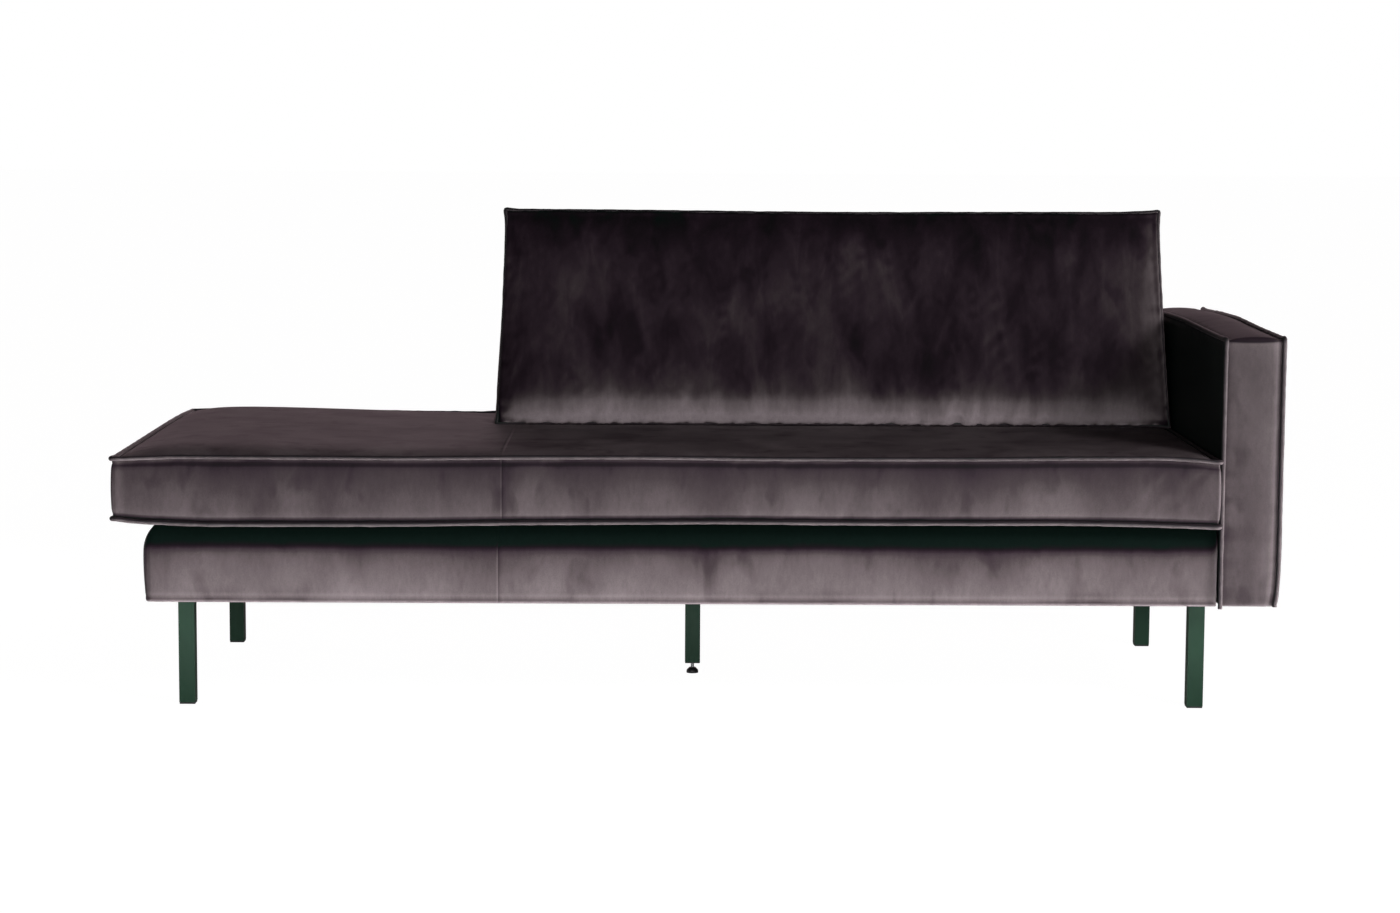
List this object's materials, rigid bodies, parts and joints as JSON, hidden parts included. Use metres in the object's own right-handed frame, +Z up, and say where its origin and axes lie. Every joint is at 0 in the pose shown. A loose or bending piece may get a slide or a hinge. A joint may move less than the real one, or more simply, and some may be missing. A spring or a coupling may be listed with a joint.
{
  "type": "daybed",
  "caption": "Upholstered velvet daybed on slim square steel legs, with a box arm at one end, a low back frame along part of the rear, a loose piped seat cushion and a loose piped back cushion.",
  "frame": {"origin": "on the floor under the middle of the bounding box", "axes": "+X towards the arm, -Y towards the front where a person sits down, +Z up"},
  "size_m": [2.02, 0.86, 0.8498],
  "materials": {
    "velvet": "soft pile",
    "powder_coat": "satin",
    "zinc": "satin",
    "black_plastic": "matte",
    "pine": "raw",
    "plywood": "raw",
    "hardboard": "raw",
    "foam": "matte",
    "wadding": "matte",
    "felt": "matte",
    "dust_fabric": "matte",
    "zip": "satin"
  },
  "bodies": {
    "frame": {"base_front_rail": "pine", "base_rear_rail": "pine", "base_left_rail": "pine", "base_right_rail": "pine", "base_centre_rail": "pine", "base_cross_rails": "pine", "corner_blocks": "plywood", "zigzag_springs": "zinc", "spring_clips": "zinc", "deck_felt": "felt", "base_foam": "foam", "base_cover": "velvet", "dust_cover": "dust_fabric", "arm_front_post": "pine", "arm_rear_post": "pine", "arm_top_board": "pine", "arm_mounting_rail": "pine", "arm_bottom_rail": "pine", "arm_inner_panel": "hardboard", "arm_outer_panel": "hardboard", "arm_foam": "foam", "arm_cover": "velvet", "arm_piping": "velvet", "back_left_post": "pine", "back_right_post": "pine", "back_top_rail": "pine", "back_bottom_rail": "pine", "back_front_panel": "hardboard", "back_rear_panel": "hardboard", "back_frame_foam": "foam", "back_frame_cover": "velvet", "back_frame_piping": "velvet", "leg_front_left": "powder_coat", "leg_front_right": "powder_coat", "leg_rear_left": "powder_coat", "leg_rear_right": "powder_coat", "leg_glides": "black_plastic", "leg_bolts": "zinc", "leg_tee_nuts": "zinc", "middle_leg": "powder_coat", "middle_leg_insert": "black_plastic", "frame_bolts": "zinc", "frame_tee_nuts": "zinc"},
    "levelling_pad": {"levelling_pad": "black_plastic"},
    "levelling_stem": {"levelling_stem": "zinc"},
    "seat_cushion": {"seat_cushion_core": "foam", "seat_cushion_wadding": "wadding", "seat_cushion_cover": "velvet", "seat_cushion_piping": "velvet", "seat_zip": "zip"},
    "seat_zip_slider": {"seat_zip_slider": "zinc"},
    "back_cushion": {"back_cushion_fill": "wadding", "back_cushion_cover": "velvet", "back_cushion_piping": "velvet", "back_zip": "zip"},
    "back_zip_slider": {"back_zip_slider": "zinc"}
  },
  "joints": [
    {"name": "seat_cushion_lift", "type": "slide", "parent": "frame", "child": "seat_cushion", "axis": [0, 0, 1], "range_m": [0, 0.35]},
    {"name": "back_cushion_lift", "type": "slide", "parent": "seat_cushion", "child": "back_cushion", "axis": [0, 0, 1], "range_m": [0, 0.25]},
    {"name": "seat_zip_slide", "type": "slide", "parent": "seat_cushion", "child": "seat_zip_slider", "axis": [1, 0, 0], "range_m": [0, 0.53]},
    {"name": "back_zip_slide", "type": "slide", "parent": "back_cushion", "child": "back_zip_slider", "axis": [1, 0, 0], "range_m": [0, 1.14]},
    {"name": "foot_height", "type": "slide", "parent": "frame", "child": "levelling_pad", "axis": [0, 0, 1], "range_m": [-0.0075, 0.0075]},
    {"name": "stem_turn", "type": "hinge", "parent": "levelling_pad", "child": "levelling_stem", "pos_m": [-0.004, -0.017, 0.03], "axis": [0, 0, 1], "range_deg": [-2880, 2880]}
  ],
  "couplings": [
    {"joint": "stem_turn", "follows": "foot_height", "rad_per_m": 6283.2}
  ]
}
